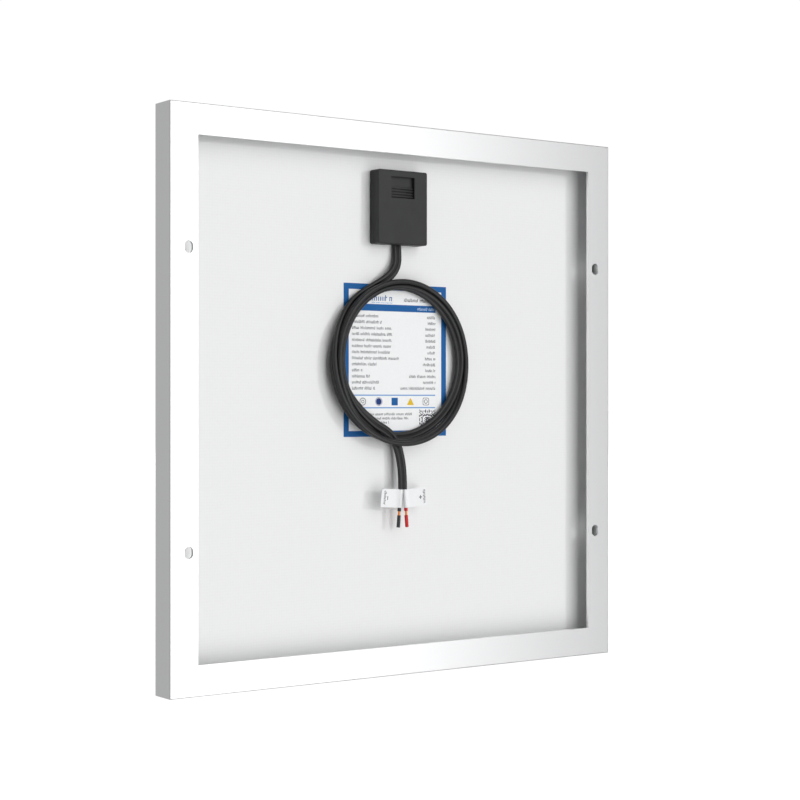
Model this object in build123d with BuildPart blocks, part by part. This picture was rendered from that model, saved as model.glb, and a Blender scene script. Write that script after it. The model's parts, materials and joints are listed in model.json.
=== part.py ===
"""Small framed solar panel with a junction box and a coiled twin lead. Millimetres.

Frame: +Z up, the glass faces -Y, the back faces +Y, origin at the middle of the bottom edge.
Left and right are as seen from behind, so left is +X.
q is the depth from the front face of the frame, p the depth from its outer face.
"""

import math
import os

from build123d import *

os.makedirs("parts", exist_ok=True)

# overall
WIDTH, HEIGHT, DEPTH = 360.0, 370.0, 20.0
HALF = WIDTH / 2
FRONT = -DEPTH / 2

# frame extrusion
WEB = 1.3  # outer web and front lip
LIP = 7.0  # reach of the front lip
SHELF_Q, SHELF_T = 6.5, 1.2  # shelf behind the laminate
INNER_P, INNER_T = 4.7, 1.2  # inner web of the narrow hollow chamber
FLANGE, FLANGE_T = 19.6, 2.0  # back flange
EDGE_R = 0.7
KEY_LEG = 32.0

# mounting slots in the back flange
SLOT_W, SLOT_L = 6.0, 8.0
SLOT_IN = 13.0
SLOT_Z = (90.0, 280.0)

# laminate, depths from the front
LAM_W, LAM_H = 356.0, 366.0
GLASS_Q, EVA1_Q, CELL_Q, CELL_END_Q = 1.6, 4.8, 5.2, 5.4
SHEET_Q, SHEET_END_Q = 6.0, 6.3
RIB_T, RIB_W = 0.15, 1.5
LINK_Q = CELL_END_Q + RIB_T
LEAD_Q = 5.82
BUS_W = 4.0

# cells
CELL_W, CELL_H = 78.0, 35.0
CELL_GAP, STRING_GAP = 2.0, 4.0
CELLS, STRINGS = 9, 4
BUSBAR_X = 19.5
FIRST_Z = HEIGHT / 2 - (CELLS * CELL_H + (CELLS - 1) * CELL_GAP) / 2
PITCH = CELL_H + CELL_GAP
LINK_Z = FIRST_Z - 6.0  # middle of the bottom links
TOP_LINK_Z = HEIGHT - LINK_Z
LEAD_Z = TOP_LINK_Z + 6.0
STRING_X = [(k - 1.5) * (CELL_W + STRING_GAP) for k in range(STRINGS)]

# junction box
BOX_X, BOX_W = 1.75, 40.7
BOX_Z0, BOX_Z1 = 289.9, 339.7
BACK = FRONT + SHEET_END_Q  # outer face of the backsheet
GLUE_T = 0.4
BASE_Y = BACK + GLUE_T
FLOOR_T = 1.2
SEAM_Y = 1.6
SEAM_GAP = 0.15
LID_Y = 6.6
LID_T = 1.5
SKIRT_T = 1.4
TONGUE_IN, TONGUE_T, TONGUE_Y = 1.8, 0.8, 3.2
CORNER_R = 1.5
BEVEL = 0.6
WIN_W, WIN_Z0, WIN_Z1, WIN_DEEP = 19.0, 321.0, 335.4, 2.9
WIN_FLOOR_T = 1.2
LATCH_TRAVEL = 5.0
LATCH_H, LATCH_T, LATCH_PLAY = 7.6, 0.5, 0.3
LATCH_RIBS, RIB_PITCH, RIB_H = 4, 1.85, 0.85
STEM_X, STEM_H, STEM_UP = 2.3, 2.0, 0.6
LEAD_X = 9.0  # bus leads and terminals, either side of the box's middle
TERM_X0, TERM_X1, TERM_Z0, TERM_Z1, TERM_Y = 6.0, 13.0, 304.0, 316.0, 2.6
SCREW_Z = (307.0, 313.0)
CLAMP_Z0, CLAMP_Z1, CLAMP_X, CLAMP_SCREW_X = 294.0, 298.0, 8.8, 6.6
CLAMP_MID = (CLAMP_Z0 + CLAMP_Z1) / 2

# rating label
LABEL_X, LABEL_W, LABEL_Z0, LABEL_Z1, LABEL_T = 0.65, 85.3, 160.0, 263.3, 0.1

# twin lead
STRAND, TWIN = 3.3, 6.6
LEAD_Y = BACK + LABEL_T + STRAND / 2  # the drop lies on the label
TAIL_Y = 4.0  # the tail hangs off the backsheet, as high as the coil
COIL_X, COIL_Z = -0.9, 210.7
COIL_OUT, COIL_BAND, COIL_DEEP = 58.0, 10.6, 10.4
DROP = [(BOX_X, 299.0), (BOX_X, 281.5), (16.5, 263.5), (31.5, 252.0)]
DROP_R = [21.5, 78.9]
TAIL = [(12.0, 162.5), (4.5, 152.5), (1.3, 138.4), (1.0, 124.4)]
TAIL_R = [26.3, 62.0]
CORE, COPPER = 2.4, 1.5
CORE_END_Z, SLUG_Z1, SLUG_Z0 = 109.7, 107.0, 98.8
NEG_TOP, NEG_END = (2.9, TAIL[-1][1]), (5.4, SLUG_Z0)
POS_TOP, POS_END = (-0.9, TAIL[-1][1]), (-1.9, SLUG_Z0)
FLAG_T, FLAG_H, FLAG_Z = 0.3, 12.6, 117.5


def save(made, name):
    made.part.label = name
    export_step(made.part, f"parts/{name}.step")


# These helpers work inside the part that is being built.
def slab(x0, x1, q0, q1, z0, z1, mode=Mode.ADD):
    """A box between two x, two depths from the front and two heights."""
    with Locations(((x0 + x1) / 2, FRONT + (q0 + q1) / 2, (z0 + z1) / 2)):
        Box(abs(x1 - x0), abs(q1 - q0), abs(z1 - z0), mode=mode)


def block(x0, x1, y0, y1, z0, z1, mode=Mode.ADD):
    """The same from the middle of the junction box, with y as it is."""
    slab(BOX_X + x0, BOX_X + x1, y0 - FRONT, y1 - FRONT, z0, z1, mode)


def ring(inset, y0, y1, wall, radius, mode=Mode.ADD):
    """A rectangular wall round the junction box, inset from its outline; solid with no wall."""
    wide, tall = BOX_W - 2 * inset, BOX_Z1 - BOX_Z0 - 2 * inset
    with BuildSketch(Plane.XZ.offset(-y0)) as outline:
        with Locations((BOX_X, (BOX_Z0 + BOX_Z1) / 2)):
            RectangleRounded(wide, tall, radius)
            if wall:
                inner = max(radius - wall, 0.3)
                RectangleRounded(wide - 2 * wall, tall - 2 * wall, inner, mode=Mode.SUBTRACT)
    extrude(outline.sketch, amount=-(y1 - y0), mode=mode)


def pin(x, y0, y1, z, diameter, mode=Mode.ADD):
    """A cylinder along Y, from the middle of the junction box."""
    with Locations(Location((BOX_X + x, (y0 + y1) / 2, z), (90, 0, 0))):
        Cylinder(diameter / 2, y1 - y0, mode=mode)


# frame rails
def rail(origin, inward, half_length, outline, slot_x=None):
    """One rail of the extrusion, cut to its mitred outline, with mounting slots at slot_x."""
    across = Vector(*inward).cross(Vector(0, 1, 0))
    with BuildPart() as made:
        with BuildSketch(Plane(origin=origin, x_dir=inward, z_dir=across)):
            with BuildLine():
                Polyline(
                    (0, 0),
                    (LIP, 0),
                    (LIP, WEB),
                    (WEB, WEB),
                    (WEB, SHELF_Q),
                    (INNER_P, SHELF_Q),
                    (INNER_P, DEPTH - FLANGE_T),
                    (FLANGE, DEPTH - FLANGE_T),
                    (FLANGE, DEPTH),
                    (0, DEPTH),
                    close=True,
                )
            make_face()
            with BuildLine():
                Polyline(
                    (WEB, SHELF_Q + SHELF_T),
                    (INNER_P - INNER_T, SHELF_Q + SHELF_T),
                    (INNER_P - INNER_T, DEPTH - FLANGE_T),
                    (WEB, DEPTH - FLANGE_T),
                    close=True,
                )
            make_face(mode=Mode.SUBTRACT)
        extrude(amount=half_length, both=True)
        along = Axis.Z if inward[0] else Axis.X
        outer = Axis.X if inward[0] else Axis.Z
        side = made.edges().filter_by(along).group_by(outer)[-1 if sum(inward) < 0 else 0]
        fillet(side, EDGE_R)
        with BuildSketch(Plane.XZ):
            with BuildLine():
                Polyline(*outline, close=True)
            make_face()
        extrude(amount=DEPTH, both=True, mode=Mode.INTERSECT)
        if slot_x is not None:
            with BuildSketch(Plane.XZ.offset(-(DEPTH / 2 + 1))):
                with Locations(*[(slot_x, z) for z in SLOT_Z]):
                    SlotOverall(SLOT_L, SLOT_W, rotation=90)
            extrude(amount=FLANGE_T + 2, mode=Mode.SUBTRACT)
    return made


CUT = 25.0
MID = HEIGHT / 2
upright = [(HALF, 0), (HALF, HEIGHT), (HALF - CUT, HEIGHT - CUT), (HALF - CUT, CUT)]
level = [(-HALF, 0), (HALF, 0), (HALF - CUT, CUT), (CUT - HALF, CUT)]
mirrored = [(-x, z) for x, z in upright]
hanging = [(x, HEIGHT - z) for x, z in level]
save(rail((HALF, FRONT, MID), (-1, 0, 0), MID, upright, HALF - SLOT_IN), "frame_rail_left")
save(rail((-HALF, FRONT, MID), (1, 0, 0), MID, mirrored, SLOT_IN - HALF), "frame_rail_right")
save(rail((0, FRONT, 0), (0, 0, 1), HALF, level), "frame_rail_bottom")
save(rail((0, FRONT, HEIGHT), (0, 0, -1), HALF, hanging), "frame_rail_top")

with BuildPart() as corner_keys:
    with BuildSketch(Plane.XZ.offset(-(FRONT + SHELF_Q + SHELF_T))):
        for sx in (-1, 1):
            for up in (-1, 1):
                near, far = WEB, INNER_P - INNER_T
                corner = [
                    (near, near),
                    (near + KEY_LEG, near),
                    (near + KEY_LEG, far),
                    (far, far),
                    (far, near + KEY_LEG),
                    (near, near + KEY_LEG),
                ]
                with BuildLine():
                    Polyline(*[(sx * (HALF - a), MID + up * (MID - b)) for a, b in corner], close=True)
                make_face()
    extrude(amount=-(DEPTH - FLANGE_T - SHELF_Q - SHELF_T))
save(corner_keys, "corner_keys")

# laminate
lam_x, lam_z0, lam_z1 = LAM_W / 2, (HEIGHT - LAM_H) / 2, (HEIGHT + LAM_H) / 2


def sheet(q0, q1, mode=Mode.ADD):
    """A layer of the laminate, over its whole outline."""
    slab(-lam_x, lam_x, q0, q1, lam_z0, lam_z1, mode)


with BuildPart() as edge_seal:
    slab(WEB - HALF, HALF - WEB, WEB, SHELF_Q, WEB, HEIGHT - WEB)
    sheet(GLASS_Q, SHEET_END_Q, Mode.SUBTRACT)
    slab(LIP - HALF, HALF - LIP, 0, DEPTH, LIP, HEIGHT - LIP, Mode.SUBTRACT)
save(edge_seal, "edge_seal")

with BuildPart() as glass:
    sheet(GLASS_Q, EVA1_Q)
save(glass, "glass")


def cell_string(x):
    with BuildPart() as made:
        places = [
            (x, FRONT + (CELL_Q + CELL_END_Q) / 2, FIRST_Z + CELL_H / 2 + i * PITCH) for i in range(CELLS)
        ]
        with Locations(*places):
            Box(CELL_W, CELL_END_Q - CELL_Q, CELL_H)
    return made


def ribbons(x, flip, low_end, high_end):
    """Ribbons from the front of each cell to the back of the next, and out to both ends."""
    front0, front1 = CELL_Q - RIB_T, CELL_Q
    back0, back1 = CELL_END_Q, CELL_END_Q + RIB_T
    step, inset = RIB_T, 1.0

    def hop(start, turn, end):
        return [
            (front0, start),
            (front0, turn + step),
            (back0, turn + step),
            (back0, end),
            (back1, end),
            (back1, turn - step),
            (front1, turn - step),
            (front1, start),
        ]

    top_z = FIRST_Z + CELLS * CELL_H + (CELLS - 1) * CELL_GAP
    low, high = (HEIGHT - high_end, HEIGHT - low_end) if flip else (low_end, high_end)
    shapes = [
        [(back0, low), (back0, FIRST_Z + CELL_H - inset), (back1, FIRST_Z + CELL_H - inset), (back1, low)]
    ]
    for i in range(CELLS):
        z0 = FIRST_Z + i * PITCH
        last = i == CELLS - 1
        turn = top_z + CELL_GAP / 2 if last else z0 + CELL_H + CELL_GAP / 2
        shapes.append(hop(z0 + inset, turn, high if last else z0 + PITCH + CELL_H - inset))
    with BuildPart() as made:
        for side in (-1, 1):
            with BuildSketch(Plane.YZ.offset(x + side * BUSBAR_X - RIB_W / 2)):
                for shape in shapes:
                    with BuildLine():
                        Polyline(
                            *[(FRONT + q, HEIGHT - z if flip else z) for q, z in shape], close=True
                        )
                    make_face()
            extrude(amount=RIB_W)
    return made


half_bus = BUS_W / 2
reach = BUSBAR_X + RIB_W / 2
cells = [cell_string(x) for x in STRING_X]
tabs = []
for k, x in enumerate(STRING_X):
    outer = k in (0, STRINGS - 1)
    high_end = (LEAD_Z if outer else TOP_LINK_Z) + half_bus
    tabs.append(ribbons(x, k % 2 == 1, LINK_Z - half_bus, high_end))
for k in range(STRINGS):
    save(cells[k], f"cell_string_{k + 1}")
    save(tabs[k], f"tab_ribbons_{k + 1}")


def link(a, b, z):
    """The ribbon that joins two strings across their ends."""
    with BuildPart() as made:
        left, right = STRING_X[a] - reach, STRING_X[b] + reach
        slab(left, right, LINK_Q, LINK_Q + RIB_T, z - half_bus, z + half_bus)
    return made


link_right = link(0, 1, LINK_Z)
link_left = link(2, 3, LINK_Z)
link_top = link(1, 2, TOP_LINK_Z)
save(link_right, "bus_link_bottom_right")
save(link_left, "bus_link_bottom_left")
save(link_top, "bus_link_top")

LEAD_OUT_Z = 330.0
FLOOR_Q = BASE_Y + FLOOR_T - FRONT


def bus_lead(side):
    """From the outer string along the top, down behind the cells and out to a terminal."""
    far = STRING_X[-1] * side + reach * side
    x0, x1 = BOX_X + side * (LEAD_X + half_bus), BOX_X + side * (LEAD_X - half_bus)
    top0, top1 = LEAD_Z - half_bus, LEAD_Z + half_bus
    floor_q = FLOOR_Q + 0.05
    with BuildPart() as made:
        slab(far, x1, LINK_Q, LINK_Q + RIB_T, top0, top1)
        slab(x0, x1, LINK_Q, LEAD_Q + RIB_T, top0, top1)
        slab(x0, x1, LEAD_Q, LEAD_Q + RIB_T, LEAD_OUT_Z - RIB_T, top1)
        slab(x0, x1, LEAD_Q, floor_q + RIB_T, LEAD_OUT_Z - RIB_T, LEAD_OUT_Z)
        slab(x0, x1, floor_q, floor_q + RIB_T, TERM_Z1, LEAD_OUT_Z)
    return made


lead_pos, lead_neg = bus_lead(-1), bus_lead(1)
save(lead_pos, "bus_lead_positive")
save(lead_neg, "bus_lead_negative")

with BuildPart() as front_encapsulant:
    sheet(EVA1_Q, CELL_Q)
    for piece in tabs:
        add(piece.part, mode=Mode.SUBTRACT)
save(front_encapsulant, "front_encapsulant")

with BuildPart() as rear_encapsulant:
    sheet(CELL_Q, SHEET_Q)
    for piece in cells + tabs + [link_right, link_left, link_top, lead_pos, lead_neg]:
        add(piece.part, mode=Mode.SUBTRACT)
save(rear_encapsulant, "rear_encapsulant")

with BuildPart() as backsheet:
    sheet(SHEET_Q, SHEET_END_Q)
    for side in (-1, 1):
        x, wide = BOX_X + side * LEAD_X, half_bus + 0.2
        low, high = LEAD_OUT_Z - 0.5, LEAD_OUT_Z + 0.4
        slab(x - wide, x + wide, SHEET_Q - 1, SHEET_END_Q + 1, low, high, Mode.SUBTRACT)
save(backsheet, "backsheet")

with BuildPart() as rating_label:
    half_label = LABEL_W / 2
    left, right = LABEL_X - half_label, LABEL_X + half_label
    slab(left, right, SHEET_END_Q, SHEET_END_Q + LABEL_T, LABEL_Z0, LABEL_Z1)
save(rating_label, "rating_label")

# junction box
GROM_X, GROM_Y, GROM_Z0, GROM_Z1 = 4.9, 0.9, 290.7, 293.4
CHAN_Z = 309.0
FLOOR_Y = BASE_Y + FLOOR_T
CLAMP_Y0, CLAMP_Y1 = LEAD_Y + STRAND / 2, LEAD_Y + STRAND / 2 + 1.4


def openings_below():
    """The way in for the bus leads and the channel for the lead, through base and adhesive."""
    block(-12.5, 12.5, BACK - 1, FLOOR_Y + 1, 326.0, 333.0, Mode.SUBTRACT)
    block(-GROM_X, GROM_X, BACK - 1, GROM_Y, BOX_Z0 - 1, 302.0, Mode.SUBTRACT)
    block(-TERM_X0, TERM_X0, BACK - 1, FLOOR_Y + 0.01, 301.0, CHAN_Z, Mode.SUBTRACT)


with BuildPart() as jbox_adhesive:
    ring(1.0, BACK, BASE_Y, 0, 1.0)
    openings_below()
save(jbox_adhesive, "jbox_adhesive")

with BuildPart() as jbox_base:
    ring(0, BASE_Y, FLOOR_Y, 0, CORNER_R)
    ring(0, BASE_Y, SEAM_Y, TONGUE_IN + TONGUE_T, CORNER_R)
    ring(TONGUE_IN, SEAM_Y - 0.5, TONGUE_Y, TONGUE_T, 0.9)
    block(-4, 4, FLOOR_Y - 0.5, 1.0, 318.0, 320.0)
    for side in (-1, 1):
        pin(side * CLAMP_SCREW_X, FLOOR_Y - 0.5, CLAMP_Y0, CLAMP_MID, 3.2)
    openings_below()
    for side in (-1, 1):
        pin(side * CLAMP_SCREW_X, BASE_Y + 0.4, CLAMP_Y0 + 1, CLAMP_MID, 1.6, Mode.SUBTRACT)
save(jbox_base, "jbox_base")

with BuildPart() as lid_gasket:
    ring(TONGUE_IN, TONGUE_Y, LID_Y - LID_T - 0.05, TONGUE_T, 0.9)
save(lid_gasket, "lid_gasket")

half_window = WIN_W / 2
win_y = LID_Y - WIN_DEEP
stem_z0 = WIN_Z0 + STEM_UP
stem_z1 = stem_z0 + STEM_H
with BuildPart() as jbox_lid:
    ring(0, SEAM_Y + SEAM_GAP, LID_Y, 0, CORNER_R)
    chamfer(jbox_lid.faces().sort_by(Axis.Y)[-1].edges(), BEVEL)
    ring(SKIRT_T, SEAM_Y, LID_Y - LID_T, 0, 0.6, Mode.SUBTRACT)
    tub_x = half_window + WIN_FLOOR_T
    block(-tub_x, tub_x, win_y - WIN_FLOOR_T, LID_Y - LID_T, WIN_Z0 - WIN_FLOOR_T, WIN_Z1 + WIN_FLOOR_T)
    block(-half_window, half_window, win_y, LID_Y + 1, WIN_Z0, WIN_Z1, Mode.SUBTRACT)
    slot_x = STEM_X + 0.5
    block(-slot_x, slot_x, 0, LID_Y, stem_z0 - 0.2, stem_z1 + LATCH_TRAVEL + 0.2, Mode.SUBTRACT)
save(jbox_lid, "jbox_lid")

with BuildPart() as lid_latch:
    latch_x = half_window - LATCH_PLAY
    plate_y = win_y + 0.1
    plate_z = WIN_Z0 + LATCH_PLAY
    block(-latch_x, latch_x, plate_y, plate_y + LATCH_T, plate_z, plate_z + LATCH_H)
    for i in range(LATCH_RIBS):
        z = plate_z + 0.5 + i * RIB_PITCH
        block(-latch_x, latch_x, plate_y, LID_Y - 1.1, z, z + RIB_H)
    block(-STEM_X, STEM_X, 1.3, plate_y + 0.4, stem_z0, stem_z1)
    block(-4.5, 4.5, 1.3, 2.2, stem_z0, stem_z1)
save(lid_latch, "lid_latch")

SCREW_X = (TERM_X0 + TERM_X1) / 2
HEAD_Y = TERM_Y + 1.1
for side, name in ((-1, "positive"), (1, "negative")):
    with BuildPart() as terminal:
        block(side * TERM_X0, side * TERM_X1, FLOOR_Y, TERM_Y, TERM_Z0, TERM_Z1)
        for z in SCREW_Z:
            pin(side * SCREW_X, TERM_Y - 3.0, TERM_Y + 1, z, 2.0, Mode.SUBTRACT)
    save(terminal, f"terminal_{name}")

with BuildPart() as terminal_screws:
    for x in (-SCREW_X, SCREW_X):
        for z in SCREW_Z:
            pin(x, TERM_Y - 3.0, TERM_Y, z, 2.0)
            pin(x, TERM_Y, HEAD_Y, z, 4.0)
            block(x - 2.5, x + 2.5, HEAD_Y - 0.5, HEAD_Y + 1, z - 0.3, z + 0.3, Mode.SUBTRACT)
save(terminal_screws, "terminal_screws")

DIODE_Y, DIODE_Z, DIODE_HALF = 1.0, 310.0, 2.6


def along_x(x0, x1, diameter):
    """A cylinder along X, from the middle of the junction box."""
    with Locations(Location((BOX_X + (x0 + x1) / 2, DIODE_Y, DIODE_Z), (0, 90, 0))):
        Cylinder(diameter / 2, x1 - x0)


with BuildPart() as bypass_diode:
    along_x(-DIODE_HALF, DIODE_HALF, 2.7)
save(bypass_diode, "bypass_diode")

with BuildPart() as diode_leads:
    along_x(-TERM_X0, -DIODE_HALF, 0.8)
    along_x(DIODE_HALF, TERM_X0, 0.8)
save(diode_leads, "diode_leads")

with BuildPart() as cable_clamp:
    block(-CLAMP_X, CLAMP_X, CLAMP_Y0, CLAMP_Y1, CLAMP_Z0, CLAMP_Z1)
    for x in (-CLAMP_SCREW_X, CLAMP_SCREW_X):
        pin(x, CLAMP_Y0 - 1, CLAMP_Y1 + 1, CLAMP_MID, 1.6, Mode.SUBTRACT)
save(cable_clamp, "cable_clamp")

with BuildPart() as clamp_screws:
    for x in (-CLAMP_SCREW_X, CLAMP_SCREW_X):
        low, high = CLAMP_MID - 0.25, CLAMP_MID + 0.25
        pin(x, BASE_Y + 0.4, CLAMP_Y1, CLAMP_MID, 1.6)
        pin(x, CLAMP_Y1, CLAMP_Y1 + 1.0, CLAMP_MID, 3.4)
        block(x - 2, x + 2, CLAMP_Y1 + 0.6, CLAMP_Y1 + 2, low, high, Mode.SUBTRACT)
save(clamp_screws, "clamp_screws")


# twin lead
def rounded_path(points, radii, y):
    """A wire at one depth through points, with one radius for each inner corner."""
    flat = [Vector(x, y, z) for x, z in points]
    pieces, at = [], flat[0]
    for i, radius in enumerate(radii, 1):
        back = (flat[i - 1] - flat[i]).normalized()
        on = (flat[i + 1] - flat[i]).normalized()
        half = math.radians(back.get_angle(on) / 2)
        trim = radius / math.tan(half)
        first, last = flat[i] + back * trim, flat[i] + on * trim
        inward = (back + on).normalized()
        middle = flat[i] + inward * (radius / math.sin(half) - radius)
        pieces.append(Edge.make_line(at, first))
        pieces.append(Edge.make_three_point_arc(first, middle, last))
        at = last
    pieces.append(Edge.make_line(at, flat[-1]))
    return Wire(pieces)


def flat_tube(points, radii, y, end):
    """The twin lead's outline swept along runs joined by tangent arcs, up to the coil."""
    path = rounded_path(points, radii, y)
    start = Vector(points[0][0], y, points[0][1])
    ahead = Vector(points[1][0] - points[0][0], 0, points[1][1] - points[0][1])
    corner = STRAND / 2 - 0.01
    with BuildPart() as made:
        with BuildSketch(Plane(origin=start, x_dir=(0, 1, 0), z_dir=ahead)) as section:
            RectangleRounded(STRAND, TWIN, corner)
        sweep(path=path)
        ratio = made.part.volume / (section.sketch.area * path.length)
        print("radii", radii, "length", round(path.length, 1))
        print("volume over section times length", round(ratio, 4))
        add(coil.part, mode=Mode.SUBTRACT)
        clear_end = made.solids().sort_by(Axis.Z)[end]
        add(clear_end, mode=Mode.REPLACE)
    return made


with BuildPart() as coil:
    with BuildSketch(Plane.XY.offset(COIL_Z)):
        with Locations((COIL_X + COIL_OUT - COIL_BAND / 2, LEAD_Y - STRAND / 2 + COIL_DEEP / 2)):
            RectangleRounded(COIL_BAND, COIL_DEEP, STRAND / 2)
    revolve(axis=Axis((COIL_X, 0, COIL_Z), (0, 1, 0)))
save(coil, "lead_coil")

drop = flat_tube(DROP, DROP_R, LEAD_Y, end=-1)
tail = flat_tube(TAIL, TAIL_R, TAIL_Y, end=0)
save(drop, "lead_drop")
save(tail, "lead_tail")

with BuildPart() as cable_grommet:
    block(-GROM_X, GROM_X, BACK, GROM_Y, GROM_Z0, GROM_Z1)
    add(drop.part, mode=Mode.SUBTRACT)
    block(-TWIN / 2, TWIN / 2, BACK - 1, LEAD_Y, GROM_Z0 - 1, GROM_Z1 + 1, Mode.SUBTRACT)
save(cable_grommet, "cable_grommet")

for side, name in ((-1, "positive"), (1, "negative")):
    x0, x1 = BOX_X + side * STRAND / 2, BOX_X + side * TERM_X0
    with BuildPart() as inner_wire:
        with BuildLine() as line:
            FilletPolyline((x0, LEAD_Y, DROP[0][1]), (x0, LEAD_Y, 306.0), (x1, LEAD_Y, 306.0), radius=3.0)
        with BuildSketch(Plane(origin=(x0, LEAD_Y, DROP[0][1]), z_dir=(0, 0, 1))):
            Circle(CORE / 2)
        sweep(path=line.wire())
    save(inner_wire, f"inner_wire_{name}")


# free ends
def wire_end(top, end, name, side):
    """Core, bare conductor, the slug left on its end and the flag folded round the core."""
    origin = Vector(top[0], TAIL_Y, top[1])
    down = (Vector(end[0], TAIL_Y, end[1]) - origin).normalized()
    slant = abs(down.Z)
    at = Plane(origin=origin, x_dir=(0, 1, 0), z_dir=down)

    def rod(z_from, z_to, outer, inner=0.0):
        with BuildSketch(at.offset((top[1] - z_from) / slant)) as section:
            Circle(outer / 2)
            if inner:
                Circle(inner / 2, mode=Mode.SUBTRACT)
        extrude(section.sketch, amount=(z_from - z_to) / slant)

    bare_top, bare_end = 112.0, SLUG_Z0 + 1.0
    with BuildPart() as core:
        rod(top[1], bare_top, CORE)
        rod(bare_top, CORE_END_Z, CORE, COPPER)
        add(tail.part, mode=Mode.SUBTRACT)
    save(core, f"core_{name}")
    with BuildPart() as conductor:
        rod(bare_top, bare_end, COPPER)
    save(conductor, f"conductor_{name}")
    with BuildPart() as slug:
        rod(SLUG_Z1, bare_end, CORE, COPPER)
        rod(bare_end, SLUG_Z0, CORE)
    save(slug, f"slug_{name}")
    length = 18.0 if side < 0 else 15.8
    middle = at.offset((top[1] - FLAG_Z) / slant - FLAG_H / 2)
    with BuildPart() as flag:
        with BuildSketch(middle):
            Circle(CORE / 2 + FLAG_T)
            with Locations((0, side * length / 2 * (-1 if at.y_dir.X < 0 else 1))):
                Rectangle(FLAG_T, length)
            Circle(CORE / 2, mode=Mode.SUBTRACT)
        extrude(amount=FLAG_H)
    save(flag, f"flag_{name}")


wire_end(POS_TOP, POS_END, "positive", -1)
wire_end(NEG_TOP, NEG_END, "negative", 1)
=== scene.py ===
"""Looks of a small framed solar panel seen from behind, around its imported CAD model.

Frame: metres, +Z up, the glass faces -Y and the back faces +Y, origin at the middle of the
bottom edge. Left is +X, as seen from behind.
"""

import json
import math
import random

import bmesh
import bpy
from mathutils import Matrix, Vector

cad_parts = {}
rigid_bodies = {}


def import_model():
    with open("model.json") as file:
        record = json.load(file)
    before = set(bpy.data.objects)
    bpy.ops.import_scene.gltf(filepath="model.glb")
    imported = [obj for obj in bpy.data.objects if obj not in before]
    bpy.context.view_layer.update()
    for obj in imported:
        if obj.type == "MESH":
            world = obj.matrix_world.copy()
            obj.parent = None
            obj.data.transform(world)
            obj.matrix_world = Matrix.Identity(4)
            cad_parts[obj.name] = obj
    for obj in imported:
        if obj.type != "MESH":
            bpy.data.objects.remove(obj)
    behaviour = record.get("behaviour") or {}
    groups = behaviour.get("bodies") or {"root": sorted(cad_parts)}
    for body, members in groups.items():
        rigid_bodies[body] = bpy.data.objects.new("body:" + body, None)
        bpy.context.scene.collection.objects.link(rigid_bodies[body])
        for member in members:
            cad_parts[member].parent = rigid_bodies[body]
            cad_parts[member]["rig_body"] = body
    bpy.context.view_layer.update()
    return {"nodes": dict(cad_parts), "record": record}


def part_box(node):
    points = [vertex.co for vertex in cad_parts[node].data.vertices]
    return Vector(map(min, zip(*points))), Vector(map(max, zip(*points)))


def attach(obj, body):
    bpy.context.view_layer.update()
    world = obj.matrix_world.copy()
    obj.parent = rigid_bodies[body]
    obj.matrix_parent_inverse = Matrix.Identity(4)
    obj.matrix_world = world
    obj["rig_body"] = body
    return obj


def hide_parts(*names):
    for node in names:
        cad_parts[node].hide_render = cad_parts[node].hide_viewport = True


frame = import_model()

MM = 0.001
BACKWARD = Vector((0, 1, 0))
scene = bpy.context.scene


def mm(x, y, z):
    return Vector((x * MM, y * MM, z * MM))


def link(name, mesh):
    made = bpy.data.objects.new(name, mesh)
    scene.collection.objects.link(made)
    return made


# ---------------------------------------------------------------- camera
CAMERA_AT = (0.69921, 0.99299, 0.18486)
CAMERA_LOOKS = (-0.5759, -0.8175, 0.0)
CAMERA_LENS = 80.52

camera_data = bpy.data.cameras.new("camera")
camera_data.lens = CAMERA_LENS
camera_data.clip_end = 100.0
camera = link("camera", camera_data)
camera.location = CAMERA_AT
camera.rotation_euler = Vector(CAMERA_LOOKS).to_track_quat("-Z", "Y").to_euler()
scene.camera = camera


# ---------------------------------------------------------------- mesh helpers
def new_mesh(name, points, faces, smooth=True, sharp_angle=35.0):
    mesh = bpy.data.meshes.new(name)
    mesh.from_pydata([tuple(p) for p in points], [], faces)
    mesh.validate()
    tidy = bmesh.new()
    tidy.from_mesh(mesh)
    bmesh.ops.recalc_face_normals(tidy, faces=tidy.faces)
    tidy.to_mesh(mesh)
    tidy.free()
    if smooth:
        mesh.polygons.foreach_set("use_smooth", [True] * len(mesh.polygons))
        mesh.set_sharp_from_angle(angle=math.radians(sharp_angle))
    return mesh


def loft(name, rings, sharp_angle=35.0):
    """A closed tube through rings of points, with flat ends."""
    count = len(rings[0])
    points = [p for ring in rings for p in ring]
    faces = []
    for k in range(len(rings) - 1):
        for i in range(count):
            j = (i + 1) % count
            a, b = k * count, (k + 1) * count
            faces.append((a + i, a + j, b + j, b + i))
    faces.append(tuple(range(count)))
    last = (len(rings) - 1) * count
    faces.append(tuple(range(last, last + count)))
    return new_mesh(name, points, faces, sharp_angle=sharp_angle)


def spline_points(controls, steps=8):
    """Points along the smooth NURBS line of these control points."""
    curve = bpy.data.curves.new("route", "CURVE")
    curve.dimensions = "3D"
    spline = curve.splines.new("NURBS")
    spline.points.add(len(controls) - 1)
    for point, control in zip(spline.points, controls):
        point.co = (*control, 1.0)
    spline.order_u = 3
    spline.use_endpoint_u = True
    spline.resolution_u = steps
    curve.resolution_u = steps
    holder = link("route", curve)
    bpy.context.view_layer.update()
    seen = holder.evaluated_get(bpy.context.evaluated_depsgraph_get())
    mesh = bpy.data.meshes.new_from_object(seen)
    found = [v.co.copy() for v in mesh.vertices]
    bpy.data.objects.remove(holder)
    bpy.data.meshes.remove(mesh)
    return found


def directions(path):
    """The way on at each point of a path."""
    found = []
    for i in range(len(path)):
        before, after = path[max(i - 1, 0)], path[min(i + 1, len(path) - 1)]
        found.append((after - before).normalized())
    return found


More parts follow.
